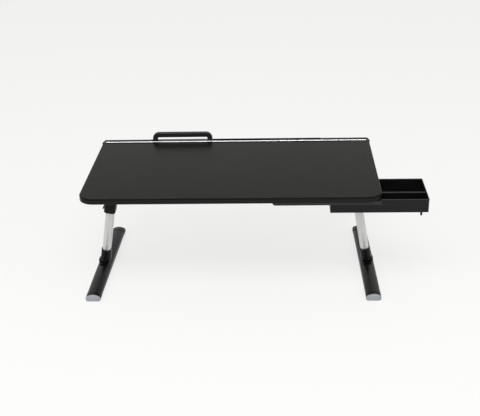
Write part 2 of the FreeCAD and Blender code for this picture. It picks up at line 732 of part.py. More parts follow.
def make_button(hand, upright):
    """The push button on the tilt axis, hollow for the spring that returns it."""
    name = f"button_{hand}"
    face = f"({outer_cheek[1]} + button_proud)"
    cap = rod(f"{name}_cap", "x", "button_radius", (f"{face} - button_length", face), ("0", tilt_z))
    outer = value(face)
    soft = soften(f"{name}_soft", cap, "button_edge",
                  lambda edge: abs(edge.BoundBox.XMin - outer) < same_place)
    hollow = rod(f"{name}_hollow", "x", "button_radius - button_wall",
                 (f"{face} - button_length - overrun", f"{face} - button_cap"), ("0", tilt_z))
    keep(cut(name, soft, [hollow]), f"tilt_button_{hand}", upright)

    start = f"({button_floor} + shaft_gap)"
    room = f"({face} - button_cap - shaft_gap - {start})"
    wall = spring_cone(f"spring_{hand}_outside", "spring_radius", "spring_tip_radius", room)
    inside = spring_cone(f"spring_{hand}_inside", "(spring_radius - spring_wall)",
                         "(spring_tip_radius - spring_wall)", room)
    lying = Placement(Vector(value(start), 0, value(tilt_z)), turns["x"])
    keep(cut(f"spring_{hand}", wall, [inside]), f"button_spring_{hand}", upright * lying)


def spring_cone(name, foot_radius, tip_radius, height):
    """One of the two cones between which the spring's thin wall lies."""
    cone = doc.addObject("Part::Cone", name)
    cone.setExpression("Radius1", bind(foot_radius))
    cone.setExpression("Radius2", bind(tip_radius))
    cone.setExpression("Height", bind(height))
    return cone


def tube(name, width, depth, wall, ends):
    """An oval tube standing along Z."""
    outside = upright_bar(f"{name}_outside", either(width), either(depth), ends,
                          f"{tube_round}{width}")
    inner_width, inner_depth = f"({width} - 2 * {wall})", f"({depth} - 2 * {wall})"
    hollow = upright_bar(f"{name}_hollow", either(inner_width), either(inner_depth),
                         (f"{ends[0]} - overrun", f"{ends[1]} + overrun"),
                         f"{tube_round}{inner_width}")
    return cut(name, outside, [hollow])


def tube_pocket(name, width, depth, gap, ends):
    """The hole that a tube of this size needs, with a gap all round."""
    wide, deep = f"({width} + 2 * {gap})", f"({depth} + 2 * {gap})"
    return upright_bar(name, either(wide), either(deep), ends, f"{tube_round}{wide}")


def make_head(hand, upright, leaning):
    """The tilt head between the fork's cheeks, and the inner tube riveted into it."""
    name = f"head_{hand}"
    socket = upright_bar(f"{name}_socket", either("head_width"), either("head_depth"),
                         ("-head_bottom", "-head_top"), "head_corner_share * head_width")
    socket_place = doc.addObject("Part::Compound", f"{name}_leaning_socket")
    socket_place.Links = [socket]
    socket_place.Placement = Placement(Vector(), Rotation(Vector(0, 1, 0), -value("lean_angle")))
    face = (f"{tilt_x} - {tongue_face}", f"{tilt_x} + {tongue_face}")
    tongue = rod(f"{name}_tongue", "x", "tongue_radius", face, ("0", tilt_z))
    neck_low = "-(head_top + head_roof / 2) * cos(lean_angle * 1 deg)"
    neck = box(f"{name}_neck", face, ("-tongue_radius", "tongue_radius"), (neck_low, tilt_z))
    pocket = tube_pocket(f"{name}_pocket", "inner_tube_width", "inner_tube_depth", "seat_gap",
                         ("-head_bottom - overrun", "-head_top - head_roof"))
    rivet_bore = rod(f"{name}_rivet_bore", "y", "rivet_radius + seat_gap",
                     ("-head_depth", "head_depth"), ("0", "-rivet_drop"))
    slanted = fuse(f"{name}_slanted_tools", [pocket, rivet_bore])
    slanted.Placement = socket_place.Placement
    axle_bore = rod(f"{name}_axle_bore", "x", "axle_radius + shaft_gap",
                    (f"{face[0]} - overrun", f"{face[1]} + overrun"), ("0", tilt_z))
    keep(cut(name, fuse(f"{name}_solid", [socket_place, tongue, neck]), [slanted, axle_bore]),
         f"tilt_head_{hand}", upright)

    inner = tube(f"inner_tube_{hand}_bare", "inner_tube_width", "inner_tube_depth",
                 "inner_tube_wall", (f"-{inner_tube_bottom}", "-head_top - head_roof - seat_gap"))
    rivet_hole = rod(f"inner_tube_{hand}_hole", "y", "rivet_radius + seat_gap",
                     ("-head_depth", "head_depth"), ("0", "-rivet_drop"))
    keep(cut(f"inner_tube_{hand}", inner, [rivet_hole]), f"inner_tube_{hand}", leaning)
    rivet = rod(f"rivet_{hand}_bar", "y", "rivet_radius", either("head_depth"), ("0", "-rivet_drop"))
    keep(group(f"rivet_{hand}", [rivet]), f"tube_rivet_{hand}", leaning)


def make_collar(hand, leaning):
    """The clamp collar on the outer tube: a brake pad pressed by a short flip lever."""
    name = f"collar_{hand}"
    top = "-head_bottom - stop_gap"
    block = upright_bar(f"{name}_block", ("-collar_inboard", "collar_outboard"),
                        either("collar_depth"), ("-collar_bottom", top), "collar_corner")
    bottom = -value("collar_bottom")
    soft = soften(f"{name}_soft", block, "collar_soft", lambda edge: level_at(edge, bottom),
                  "Part::Chamfer")
    recess = either("lever_width + 2 * stop_gap")
    pin_end = "(lever_pin_length / 2)"
    tools = [
        tube_pocket(f"{name}_upper_bore", "inner_tube_width", "inner_tube_depth", "stop_gap",
                    ("-collar_bottom - overrun", f"{top} + overrun")),
        tube_pocket(f"{name}_lower_bore", "outer_tube_width", "outer_tube_depth", "seat_gap",
                    ("-collar_bottom - overrun", "-outer_tube_top + seat_gap")),
        box(f"{name}_recess", ("lever_recess", "collar_outboard + overrun"), recess,
            ("-lever_recess_low", f"{top} + overrun")),
        box(f"{name}_eye_room", ("lever_reach - lever_eye - lever_throw - stop_gap", "lever_recess"),
            recess, ("-lever_drop - 2 * lever_eye", f"{top} + overrun")),
        box(f"{name}_window", ("0", "lever_recess"), either("pad_width + 2 * seat_gap"),
            ("-lever_drop - pad_window / 2", f"{top} + overrun")),
        rod(f"{name}_pin_bore", "y", "lever_pin_radius + shaft_gap",
            (f"-{pin_end} - seat_gap", f"{pin_end} + seat_gap"), ("lever_reach", "-lever_drop")),
    ]
    keep(cut(name, soft, tools), f"clamp_collar_{hand}", leaning)

    pad_face = "(inner_tube_width / 2 + seat_gap)"
    plate = box(f"pad_{hand}_plate", (pad_face, f"{pad_face} + pad_thickness"), either("pad_width"),
                ("-lever_drop - pad_height / 2", "-lever_drop + pad_height / 2"))
    keep(group(f"pad_{hand}", [plate]), f"brake_pad_{hand}", leaning)
    pin = rod(f"lever_pin_{hand}_bar", "y", "lever_pin_radius", either("lever_pin_length"),
              ("lever_reach", "-lever_drop"))
    keep(group(f"lever_pin_{hand}", [pin]), f"lever_pin_{hand}", leaning)

    name = f"lever_{hand}"
    width = either("lever_width")
    eye = rod(f"{name}_eye", "y", "lever_eye", width, ("-lever_throw", "0"))
    blade = box(f"{name}_blade", ("-lever_thickness / 2", "lever_thickness / 2"), width,
                ("-lever_length", "0"))
    tip = rod(f"{name}_tip", "y", "lever_tip", width, ("lever_tip - lever_thickness / 2",
                                                       "-lever_length"))
    swung = fuse(f"{name}_swung", [blade, tip])
    swung.Placement = Placement(Vector(), Rotation(Vector(0, 1, 0), -value("lever_splay")))
    bore = rod(f"{name}_bore", "y", "lever_pin_radius + shaft_gap", ("-lever_width", "lever_width"))
    place = Placement(Vector(value("lever_reach"), 0, -value("lever_drop")), Rotation())
    keep(cut(name, fuse(f"{name}_solid", [eye, swung]), [bore]), f"clamp_lever_{hand}",
         leaning * place)

    outer = tube(f"outer_tube_{hand}", "outer_tube_width", "outer_tube_depth", "outer_tube_wall",
                 (f"-{outer_tube_bottom}", "-outer_tube_top"))
    keep(outer, f"outer_tube_{hand}", leaning)


# The foot's top is arched along its length, about a hub far below the floor
arch_radius = "(((foot_length / 2) ^ 2 + foot_end_drop ^ 2) / (2 * foot_end_drop))"
hub_depth = f"({arch_radius} - {foot_top})"


def foot_piece(name, ends, grow="0"):
    """The foot between two places along it, grown all round: flat below, arched both ways above."""
    body = doc.addObject("PartDesign::Body", f"{name}_body")
    half = f"(foot_width / 2 + {grow})"
    side = f"(foot_pad_thickness + foot_side + {grow} + {hub_depth})"
    deep = f"({hub_depth} - foot_height)"
    sketch = outline(body, f"{name}_outline", "XZ_Plane",
                     [(f"-{half}", deep), (half, deep), (half, side), (f"-{half}", side)])
    sketch.setExpression("AttachmentOffset.Base.y", bind(f"-{hub_depth}"))
    crown(sketch, 2, half, "foot_height - foot_side", f"{foot_top} + {grow} + {hub_depth}")
    turned = body.newObject("PartDesign::Revolution", f"{name}_turned")
    turned.Profile = sketch
    turned.ReferenceAxis = (sketch, ["H_Axis"])
    turned.Midplane = True
    turned.setExpression("Angle", bind(f"2 * asin((foot_length / 2 + overrun) / {arch_radius})"))
    room = box(f"{name}_room", either("2 * foot_width"), ends,
               (f"foot_pad_thickness - {grow}", f"{foot_top} + overrun"))
    piece = doc.addObject("Part::MultiCommon", f"{name}_piece")
    piece.Shapes = [body, room]
    run = value(f"({ends[1]}) - ({ends[0]})")
    return soften(name, piece, "foot_soft", lambda edge: edge.BoundBox.YLength > run - same_place)


def stretch(way, near, far):
    """From near to far along the foot, towards one of its ends."""
    return (near, far) if way > 0 else (f"-({far})", f"-({near})")


def make_foot(hand, side, leaning, under_leg, foot):
    """The foot beam with its socket, black end collars, grey end caps, pads and screws."""
    name = f"foot_{hand}"
    beam = foot_piece(f"{name}_beam",
                      either("foot_length - 2 * (foot_cap_thickness + foot_collar_end)"))
    half = "foot_width / 2 - foot_wall"
    hollow = box(f"{name}_hollow", (f"-({half})", half), ("-foot_length", "foot_length"),
                 ("foot_pad_thickness + foot_wall",
                  "foot_pad_thickness + foot_side - foot_end_drop"))
    shift = Placement(Vector(0, -side * value("foot_shift"), 0), Rotation())
    screw_rows = ("-socket_screw_offset", "socket_screw_offset")
    head_low, screw_length = "foot_pad_thickness", "foot_height + socket_screw_bite"
    under = fuse(f"{name}_holes", [screw(f"{name}_hole_{n}", "0", y, head_low, screw_length,
                                         "seat_gap") for n, y in enumerate(screw_rows)])
    under.Placement = shift
    keep(cut(f"{name}_bare", beam, [hollow, under]), f"foot_beam_{hand}", foot)
    screws = [screw(f"{name}_screw_{n}", "0", y, head_low, screw_length)
              for n, y in enumerate(screw_rows)]
    keep(group(f"{name}_screws", screws), f"foot_screws_{hand}", under_leg)

    flange = upright_bar(f"{name}_flange", either("socket_flange_width"),
                         either("socket_flange_depth"),
                         (seat_height, f"{foot_top} + socket_flange_rise"),
                         "socket_flange_corner")
    block = upright_bar(f"{name}_block",
                        ("socket_base_shift - socket_base_width / 2",
                         "socket_base_shift + socket_base_width / 2"),
                        either("socket_base_depth"),
                        (seat_height, f"{foot_top} + socket_base_rise"),
                        "socket_base_corner")
    block_top = value(f"{foot_top} + socket_base_rise")
    base = soften(f"{name}_base", block, "socket_base_slope",
                  lambda edge: level_at(edge, block_top), "Part::Chamfer")
    boss = tube_pocket(f"{name}_boss", "outer_tube_width", "outer_tube_depth", "socket_wall",
                       (f"-{outer_tube_bottom} - 2 * overrun", f"-{socket_top}"))
    bore = tube_pocket(f"{name}_bore", "outer_tube_width", "outer_tube_depth", "seat_gap",
                       (f"-{outer_tube_bottom} - seat_gap", f"-{socket_top} + overrun"))
    lean_in = under_leg.inverse() * leaning
    boss.Placement = lean_in
    bore.Placement = lean_in
    saddle = foot_piece(f"{name}_saddle", either("socket_flange_depth + 6 * overrun"), "seat_gap")
    saddle.Placement = shift.inverse()
    clear = [screw(f"{name}_socket_hole_{n}", "0", y, head_low, screw_length, "seat_gap")
             for n, y in enumerate(screw_rows)]
    keep(cut(f"{name}_socket", fuse(f"{name}_socket_solid", [boss, base, flange]),
             [bore, saddle] + clear), f"foot_socket_{hand}", under_leg)

    cap_start = "foot_length / 2 - foot_cap_thickness"
    for end, way in (("front", -side), ("rear", side)):
        outside = foot_piece(f"{name}_collar_{end}_outside",
                             stretch(way, f"{cap_start} - foot_collar_length", cap_start),
                             "foot_collar_proud")
        inside = foot_piece(f"{name}_collar_{end}_inside",
                            stretch(way, f"{cap_start} - foot_collar_length - overrun",
                                    f"{cap_start} - foot_collar_end"), "seat_gap")
        keep(cut(f"{name}_collar_{end}", outside, [inside]), f"foot_collar_{end}_{hand}", foot)
        plate = foot_piece(f"{name}_plate_{end}", stretch(way, cap_start, "foot_length / 2"),
                           "foot_collar_proud")
        face = way * value("foot_length / 2")
        rounded = soften(f"{name}_cap_{end}", plate, "foot_cap_edge",
                         lambda edge: abs(edge.BoundBox.YMin - face) < same_place
                         and abs(edge.BoundBox.YMax - face) < same_place)
        keep(rounded, f"foot_cap_{end}_{hand}", foot)

    pads = [box(f"{name}_pad_{n}", either("foot_pad_width"),
                stretch(way, "foot_length / 2 - foot_pad_inset - foot_pad_length / 2",
                        "foot_length / 2 - foot_pad_inset + foot_pad_length / 2"),
                ("0", "foot_pad_thickness"))
            for n, way in enumerate((-1, 1))]
    keep(group(f"{name}_pads", pads), f"foot_pads_{hand}", foot)


make_board()
make_strip()
make_well()
make_stopper("left", -1, raised=True)
make_stopper("right", 1, raised=False)
make_drawer()
make_rails()
for hand, side in (("left", -1), ("right", 1)):
    upright, leaning, under_leg, foot = leg_frames(side)
    make_bracket(hand, upright)
    make_knuckle(hand, upright)
    make_button(hand, upright)
    make_head(hand, upright, leaning)
    make_collar(hand, leaning)
    make_foot(hand, side, leaning, under_leg, foot)
doc.recompute()

for thing in doc.Objects:
    if "Invalid" in thing.State or "Error" in thing.State:
        raise RuntimeError(f"{thing.Name} failed: {thing.State}")
os.makedirs("parts", exist_ok=True)
for thing in parts:
    if thing.Shape.isNull() or not thing.Shape.isValid():
        raise RuntimeError(f"{thing.Label} has no valid shape")
    thing.Shape.exportStep(f"parts/{thing.Label}.step")
print(f"{len(parts)} sub-parts written")
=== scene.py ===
import json
import math
import bmesh
import bpy
import numpy as np
from mathutils import Matrix, Vector


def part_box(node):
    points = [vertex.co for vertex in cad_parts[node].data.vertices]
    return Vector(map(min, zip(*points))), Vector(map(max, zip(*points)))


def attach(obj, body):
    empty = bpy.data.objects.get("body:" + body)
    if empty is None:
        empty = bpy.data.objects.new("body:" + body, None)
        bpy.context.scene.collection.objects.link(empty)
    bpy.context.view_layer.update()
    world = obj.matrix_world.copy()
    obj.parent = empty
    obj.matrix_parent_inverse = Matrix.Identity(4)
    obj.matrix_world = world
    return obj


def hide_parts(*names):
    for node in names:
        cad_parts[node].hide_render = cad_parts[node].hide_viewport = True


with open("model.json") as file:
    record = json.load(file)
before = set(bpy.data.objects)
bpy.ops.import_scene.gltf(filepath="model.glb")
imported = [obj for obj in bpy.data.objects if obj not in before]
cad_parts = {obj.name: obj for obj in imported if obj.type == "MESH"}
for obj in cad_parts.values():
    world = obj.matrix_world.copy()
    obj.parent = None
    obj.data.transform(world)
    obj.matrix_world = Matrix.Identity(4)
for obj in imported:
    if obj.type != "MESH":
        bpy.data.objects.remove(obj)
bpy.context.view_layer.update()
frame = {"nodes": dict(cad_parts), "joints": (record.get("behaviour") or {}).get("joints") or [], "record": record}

# Folding laptop table with side drawer. The frame is in metres: X right, Y away, Z up.
# Surfaces are worked out in millimetres and brought into the frame by makePiece.
mm = 0.001
nodes = frame["nodes"]
joints = {joint["name"]: joint for joint in frame["joints"]}
bodyOf = {node: body for body, members in frame["record"]["behaviour"]["bodies"].items()
          for node in members}
slotOf = {row["node"]: row["material_slot"] for row in frame["record"]["subparts"]}
hands = (("left", -1), ("right", 1))


# Colour and node helpers

def linear(hexColour):
    # sRGB byte to linear: below 0.04045 divide by 12.92, above it the 2.4 power curve
    parts = np.array([int(hexColour[n:n + 2], 16) for n in (1, 3, 5)]) / 255
    low, high = parts / 12.92, ((parts + 0.055) / 1.055) ** 2.4
    return tuple(float(v) for v in np.where(parts <= 0.04045, low, high)) + (1.0,)


def addNode(tree, kind, settings=None, links=None):
    # one node: plain attributes and socket values in settings, sockets by name in links
    node = tree.nodes.new(kind)
    for key, value in (settings or {}).items():
        if hasattr(node, key):
            setattr(node, key, value)
        else:
            node.inputs[key].default_value = value
    for key, source in (links or {}).items():
        tree.links.new(source, node.inputs[key])
    return node


def newMaterial(name):
    material = bpy.data.materials.new(name)
    material.use_nodes = True
    material.node_tree.nodes.clear()
    return material, material.node_tree


def finishMaterial(tree, shader):
    addNode(tree, "ShaderNodeOutputMaterial", links={"Surface": shader.outputs[0]})


def grain(tree, place, size, detail=2.0, roughness=0.5):
    # noise whose cells are about size metres across
    return addNode(tree, "ShaderNodeTexNoise",
                   {"Scale": 1 / size, "Detail": detail, "Roughness": roughness},
                   {"Vector": place})


def ramp(tree, value, low, high, fromLow=0.3, fromHigh=0.7):
    # a factor spread from low to high as value goes from fromLow to fromHigh
    return addNode(tree, "ShaderNodeMapRange",
                   {"From Min": fromLow, "From Max": fromHigh, "To Min": low, "To Max": high},
                   {"Value": value})


def mixColours(tree, factor, first, second):
    # the first colour where the factor is 0 and the second where it is 1
    mix = addNode(tree, "ShaderNodeMix", {"data_type": "RGBA"}, {"Factor": factor})
    sockets = [socket for socket in mix.inputs if socket.type == "RGBA"]
    for socket, colour in zip(sockets, (first, second)):
        if isinstance(colour, tuple):
            socket.default_value = colour
        else:
            tree.links.new(colour, socket)
    return [socket for socket in mix.outputs if socket.type == "RGBA"][0]


print("stage: camera and studio")
studio = {
    "focal": 69.975,                           # the photo's angle of view on a 36 mm sensor
    "place": (98.6, -1822.6, 985.4),           # from the floor under the tabletop's middle
    "yaw": -2.677, "pitch": 24.793, "roll": -1.529,
    "floorColour": "#fafaf9", "floorGlow": 0.8,
    "floorHalf": 6.0, "backdropRadius": 1.5,
    "worldLevel": 0.46,
}
boardLow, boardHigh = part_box("tabletop_board")
tableMiddle = Vector(((boardLow.x + boardHigh.x) / 2, (boardLow.y + boardHigh.y) / 2, 0))


def makeCamera():
    yaw, pitch, roll = (math.radians(studio[key]) for key in ("yaw", "pitch", "roll"))
    forward = Vector((math.sin(yaw) * math.cos(pitch), math.cos(yaw) * math.cos(pitch),
                      -math.sin(pitch)))
    level = Vector((math.cos(yaw), -math.sin(yaw), 0))
    above = level.cross(forward)
    right = level * math.cos(roll) + above * math.sin(roll)
    up = above * math.cos(roll) - level * math.sin(roll)
    camera = bpy.data.objects.new("camera", bpy.data.cameras.new("camera"))
    bpy.context.scene.collection.objects.link(camera)
    turn = Matrix((right, up, -forward)).transposed().to_4x4()
    camera.matrix_world = Matrix.Translation(tableMiddle + Vector(studio["place"]) * mm) @ turn
    camera.data.lens = studio["focal"]
    camera.data.clip_end = 50
    bpy.context.scene.camera = camera


def makeLamp(name, place, aim, size, power):
    lamp = bpy.data.objects.new(name, bpy.data.lights.new(name, "AREA"))
    bpy.context.scene.collection.objects.link(lamp)
    lamp.data.shape = "RECTANGLE"
    lamp.data.size, lamp.data.size_y = size
    lamp.data.energy = power
    lamp.location = tableMiddle + Vector(place)
    way = tableMiddle + Vector(aim) - lamp.location
    lamp.rotation_euler = way.to_track_quat("-Z", "Y").to_euler()


def makeStudio():
    # pale floor that curves up into a wall far behind
    half, radius = studio["floorHalf"], studio["backdropRadius"]
    turn = np.linspace(0, math.pi / 2, 16)
    depth = np.concatenate(([-half], half + radius * np.sin(turn), [half + radius]))
    height = np.concatenate(([0.0], radius * (1 - np.cos(turn)), [half]))
    across = np.array([-2 * half, 2 * half])
    points = np.stack([np.repeat(across, len(depth)), np.tile(depth, 2), np.tile(height, 2)], 1)
    count = len(depth)
    faces = [(n, n + count, n + count + 1, n + 1) for n in range(count - 1)]
    mesh = bpy.data.meshes.new("studio_floor")
    mesh.from_pydata(points.tolist(), [], faces)
    floor = bpy.data.objects.new("studio_floor", mesh)
    bpy.context.scene.collection.objects.link(floor)
    material, tree = newMaterial("painted studio floor")
    paint = addNode(tree, "ShaderNodeBsdfDiffuse", {"Color": linear(studio["floorColour"])})
    glow = addNode(tree, "ShaderNodeEmission",
                   {"Color": linear(studio["floorColour"]), "Strength": 1.0})
    path = addNode(tree, "ShaderNodeLightPath")
    seen = addNode(tree, "ShaderNodeMath", {"operation": "MAXIMUM"},
                   {0: path.outputs["Is Camera Ray"], 1: path.outputs["Is Glossy Ray"]})
    share = addNode(tree, "ShaderNodeMath", {"operation": "MULTIPLY"}, {0: seen.outputs[0]})
    share.inputs[1].default_value = studio["floorGlow"]
    blend = addNode(tree, "ShaderNodeMixShader", links={0: share.outputs[0],
                                                        1: paint.outputs[0],
                                                        2: glow.outputs[0]})
    finishMaterial(tree, blend)
    mesh.materials.append(material)

    world = bpy.data.worlds.new("studio_light")
    bpy.context.scene.world = world
    world.use_nodes = True
    tree = world.node_tree
    tree.nodes.clear()
    soft = addNode(tree, "ShaderNodeBackground",
                   {"Color": (1, 1, 1, 1), "Strength": studio["worldLevel"]})
    addNode(tree, "ShaderNodeOutputWorld", links={"Surface": soft.outputs[0]})
    makeLamp("softbox_above", (0.0, -1.6, 2.4), (0, 0, 0.2), (2.0, 1.0), 44)
    makeLamp("softbox_left", (-2.2, -1.4, 1.8), (0, 0, 0.15), (1.4, 1.4), 18)
    makeLamp("softbox_right", (2.4, -1.0, 1.6), (0, 0, 0.15), (1.2, 1.4), 12)


makeCamera()
makeStudio()
bpy.context.scene.view_settings.view_transform = "Standard"


print("stage: materials")


def mouldedPlastic(name, settings):
    # moulded plastic with a spark-eroded grain: dull, with a fine sparkle where light grazes,
    # and slightly polished where hands have rubbed it
    material, tree = newMaterial(name)
    place = addNode(tree, "ShaderNodeTexCoord").outputs["Object"]
    fine = grain(tree, place, settings["grain"] * mm, 3)
    broad = grain(tree, place, 18 * mm)
    rubbed = grain(tree, place, 45 * mm, 3)
    tone = ramp(tree, broad.outputs["Fac"], 0, 1)
    colour = mixColours(tree, tone.outputs[0], linear(settings["colour"]),
                        linear(settings["paler"]))
    rough = ramp(tree, fine.outputs["Fac"], settings["rough"] - 0.05, settings["rough"] + 0.06)
    worn = addNode(tree, "ShaderNodeMath", {"operation": "ADD"},
                   {0: rough.outputs[0],
                    1: ramp(tree, rubbed.outputs["Fac"], -0.03, 0.03).outputs[0]})
    bump = addNode(tree, "ShaderNodeBump", {"Strength": settings["bump"], "Distance": 0.1 * mm},
                   {"Height": fine.outputs["Fac"]})
    shader = addNode(tree, "ShaderNodeBsdfPrincipled",
                     {"IOR": settings["ior"], "Specular IOR Level": settings["specular"]},
                     {"Base Color": colour, "Roughness": worn.outputs[0],
                      "Normal": bump.outputs[0]})
    finishMaterial(tree, shader)
    return material


def laminatedBoard(name, settings):
    # pressed laminate on the flat faces, an extruded edge band round the sides, and between them
    # a thin near-black line of painted shade a little below the top, on the rounded top edge
    material, tree = newMaterial(name)
    place = addNode(tree, "ShaderNodeTexCoord").outputs["Object"]
    fine = grain(tree, place, settings["grain"] * mm, 4, 0.6)
    broad = grain(tree, place, 60 * mm)
    tone = ramp(tree, broad.outputs["Fac"], 0, 1)
    face = mixColours(tree, tone.outputs[0], linear(settings["colour"]),
                      linear(settings["paler"]))
    height = addNode(tree, "ShaderNodeSeparateXYZ", links={0: place}).outputs[2]
    top = boardHigh.z
    onBand = addNode(tree, "ShaderNodeMath", {"operation": "LESS_THAN"}, {0: height})
    onBand.inputs[1].default_value = top - settings["edgeShadeDrop"] * mm
    # painted shade: a thin band at a set depth below the top is coloured near black, for the shade on the rounded
    # top edge
    offEdgeShade = addNode(tree, "ShaderNodeMath", {"operation": "SUBTRACT"}, {0: height})
    offEdgeShade.inputs[1].default_value = top - settings["edgeShadeDrop"] * mm
    edgeShadeGap = addNode(tree, "ShaderNodeMath", {"operation": "ABSOLUTE"}, {0: offEdgeShade.outputs[0]})
    inEdgeShade = addNode(tree, "ShaderNodeMath", {"operation": "LESS_THAN"}, {0: edgeShadeGap.outputs[0]})
    inEdgeShade.inputs[1].default_value = settings["edgeShadeHalf"] * mm
    banded = mixColours(tree, onBand.outputs[0], face, linear(settings["band"]))
    colour = mixColours(tree, inEdgeShade.outputs[0], banded, linear(settings["edgeShadeColour"]))
    rough = ramp(tree, fine.outputs["Fac"], settings["rough"] - 0.04, settings["rough"] + 0.05)
    bump = addNode(tree, "ShaderNodeBump", {"Strength": settings["bump"], "Distance": 0.06 * mm},
                   {"Height": fine.outputs["Fac"]})
    shader = addNode(tree, "ShaderNodeBsdfPrincipled",
                     {"IOR": 1.5, "Specular IOR Level": settings["specular"]},
                     {"Base Color": colour, "Roughness": rough.outputs[0],
                      "Normal": bump.outputs[0]})
    finishMaterial(tree, shader)
    return material


def paintedJointShade(tree, colour, before):
    # painted shade: black in front of a place along Y, standing for the shadow in the joint along the front of a
    # strip
    place = addNode(tree, "ShaderNodeTexCoord").outputs["Object"]
    depth = addNode(tree, "ShaderNodeSeparateXYZ", links={0: place}).outputs[1]
    inJointShade = addNode(tree, "ShaderNodeMath", {"operation": "LESS_THAN"}, {0: depth})
    inJointShade.inputs[1].default_value = before
    return mixColours(tree, inJointShade.outputs[0], colour, linear("#050505"))


def brushedMetal(name, settings):
    # bare or anodised metal with fine lines along the stock, which the piece's own UV map gives
    # in metres: U round the piece and V along it
    material, tree = newMaterial(name)
    place = addNode(tree, "ShaderNodeUVMap", {"uv_map": "along"}).outputs[0]
    stretch = addNode(tree, "ShaderNodeMapping", {"Scale": (1, settings["stretch"], 1)},
                      {"Vector": place})
    lines = grain(tree, stretch.outputs[0], settings["lines"] * mm, 3)
    cloud = grain(tree, place, 25 * mm)
    tone = ramp(tree, lines.outputs["Fac"], 0, 1)
    colour = mixColours(tree, tone.outputs[0], linear(settings["colour"]),
                        linear(settings["paler"]))
    # painted shade: the strip's front joint is coloured black for the shadow that lies in it
    if "joint" in settings:
        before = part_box("edge_strip")[0].y + settings["joint"] * mm
        colour = paintedJointShade(tree, colour, before)
    rough = ramp(tree, lines.outputs["Fac"], settings["rough"] - 0.04, settings["rough"] + 0.05)
    handled = addNode(tree, "ShaderNodeMath", {"operation": "ADD"},
                      {0: rough.outputs[0],
                       1: ramp(tree, cloud.outputs["Fac"], -0.03, 0.03).outputs[0]})
    bump = addNode(tree, "ShaderNodeBump", {"Strength": settings["bump"], "Distance": 0.03 * mm},
                   {"Height": lines.outputs["Fac"]})
    shader = addNode(tree, "ShaderNodeBsdfPrincipled", {"Metallic": settings["metallic"]},
                     {"Base Color": colour, "Roughness": handled.outputs[0],
                      "Normal": bump.outputs[0]})
    finishMaterial(tree, shader)
    return material


def platedSteel(name, settings):
    # zinc on steel: a bright grey with faint cloudy patches
    material, tree = newMaterial(name)
    place = addNode(tree, "ShaderNodeTexCoord").outputs["Object"]
    cloud = grain(tree, place, settings["cloud"] * mm, 3)
    tone = ramp(tree, cloud.outputs["Fac"], 0, 1)
    colour = mixColours(tree, tone.outputs[0], linear(settings["colour"]),
                        linear(settings["paler"]))
    rough = ramp(tree, cloud.outputs["Fac"], settings["rough"] - 0.06, settings["rough"] + 0.08)
    shader = addNode(tree, "ShaderNodeBsdfPrincipled", {"Metallic": 1.0},
                     {"Base Color": colour, "Roughness": rough.outputs[0]})
    finishMaterial(tree, shader)
    return material


materials = {
    # black laminate on fibreboard, pressed with a fine leather-like grain, with a thin line of painted shade under
    # its top edge
    "laminate_board": laminatedBoard("pressed black laminate", {
        "colour": "#141412", "paler": "#171715", "band": "#1e1e1d", "edgeShadeColour": "#020202",
        "edgeShadeDrop": 1.6, "edgeShadeHalf": 0.55, "rough": 0.25, "grain": 0.7, "bump": 0.15,
        "specular": 0.05}),
    # strip ends, stopper well, stoppers, drawer rails and the drawer's peg
    "trim_plastic": mouldedPlastic("moulded black ABS", {
        "colour": "#191919", "paler": "#1d1d1d", "rough": 0.36, "grain": 0.5, "bump": 0.15,
        "ior": 1.5, "specular": 0.4}),
    # drawer tray
    "drawer_plastic": mouldedPlastic("moulded black polystyrene", {
        "colour": "#0a0a0b", "paler": "#0d0d0e", "rough": 0.4, "grain": 0.5, "bump": 0.2,
        "ior": 1.5, "specular": 0.25}),
    # brackets, knuckles, heads, clamp collars, levers, sockets and foot collars
    "structural_plastic": mouldedPlastic("glass-filled nylon", {
        "colour": "#070708", "paler": "#0a0a0b", "rough": 0.36, "grain": 0.6, "bump": 0.2,
        "ior": 1.5, "specular": 0.17}),
    # end plates of the feet
    "grey_plastic": mouldedPlastic("moulded grey ABS", {
        "colour": "#8e9297", "paler": "#969a9e", "rough": 0.4, "grain": 0.4, "bump": 0.1,
        "ior": 1.5, "specular": 0.5}),
    # pads under the feet and the brake pads
    "black_rubber": mouldedPlastic("black rubber", {
        "colour": "#121212", "paler": "#181818", "rough": 0.75, "grain": 0.8, "bump": 0.3,
        "ior": 1.5, "specular": 0.3}),
    # feet
    "black_aluminium": mouldedPlastic("black powder coat", {
        "colour": "#121211", "paler": "#161615", "rough": 0.28, "grain": 0.9, "bump": 0.12,
        "ior": 1.5, "specular": 0.15}),
    # clear anodised extrusion, lines run along the strip, with a black band of painted shade along its front
    # joint, joint mm wide
    "strip_aluminium": brushedMetal("brushed aluminium strip", {
        "colour": "#d0d1d2", "paler": "#dcddde", "rough": 0.34, "lines": 0.5, "bump": 0.3,
        "stretch": 0.02, "metallic": 1.0, "joint": 2.6}),
    # satin anodised tube, drawn lengthwise
    "tube_aluminium": brushedMetal("satin anodised aluminium", {
        "colour": "#d6d6d4", "paler": "#dadad8", "rough": 0.45, "lines": 0.6, "bump": 0.06,
        "stretch": 0.03, "metallic": 0.85}),
    # screws, pins, axles, rivets and springs
    "plated_steel": platedSteel("zinc plated steel", {
        "colour": "#9fa1a4", "paler": "#b4b6b8", "rough": 0.3, "cloud": 3.0}),
}


print("stage: surface helpers")


def roundedRing(halfX, halfY, radius, steps=8):
    # counter-clockwise rounded rectangle: a quarter circle of the radius at each corner
    turn = np.linspace(0, math.pi / 2, steps + 1)
    corners = []
    for quarter, (x, y) in enumerate(((1, 1), (-1, 1), (-1, -1), (1, -1))):
        angle = turn + quarter * math.pi / 2
        corners.append(np.stack([x * (halfX - radius) + radius * np.cos(angle),
                                 y * (halfY - radius) + radius * np.sin(angle)], 1))
    return np.concatenate(corners)


def lifted(ring, height):
    # a flat ring given its height
    return np.column_stack([ring, np.full(len(ring), height)])


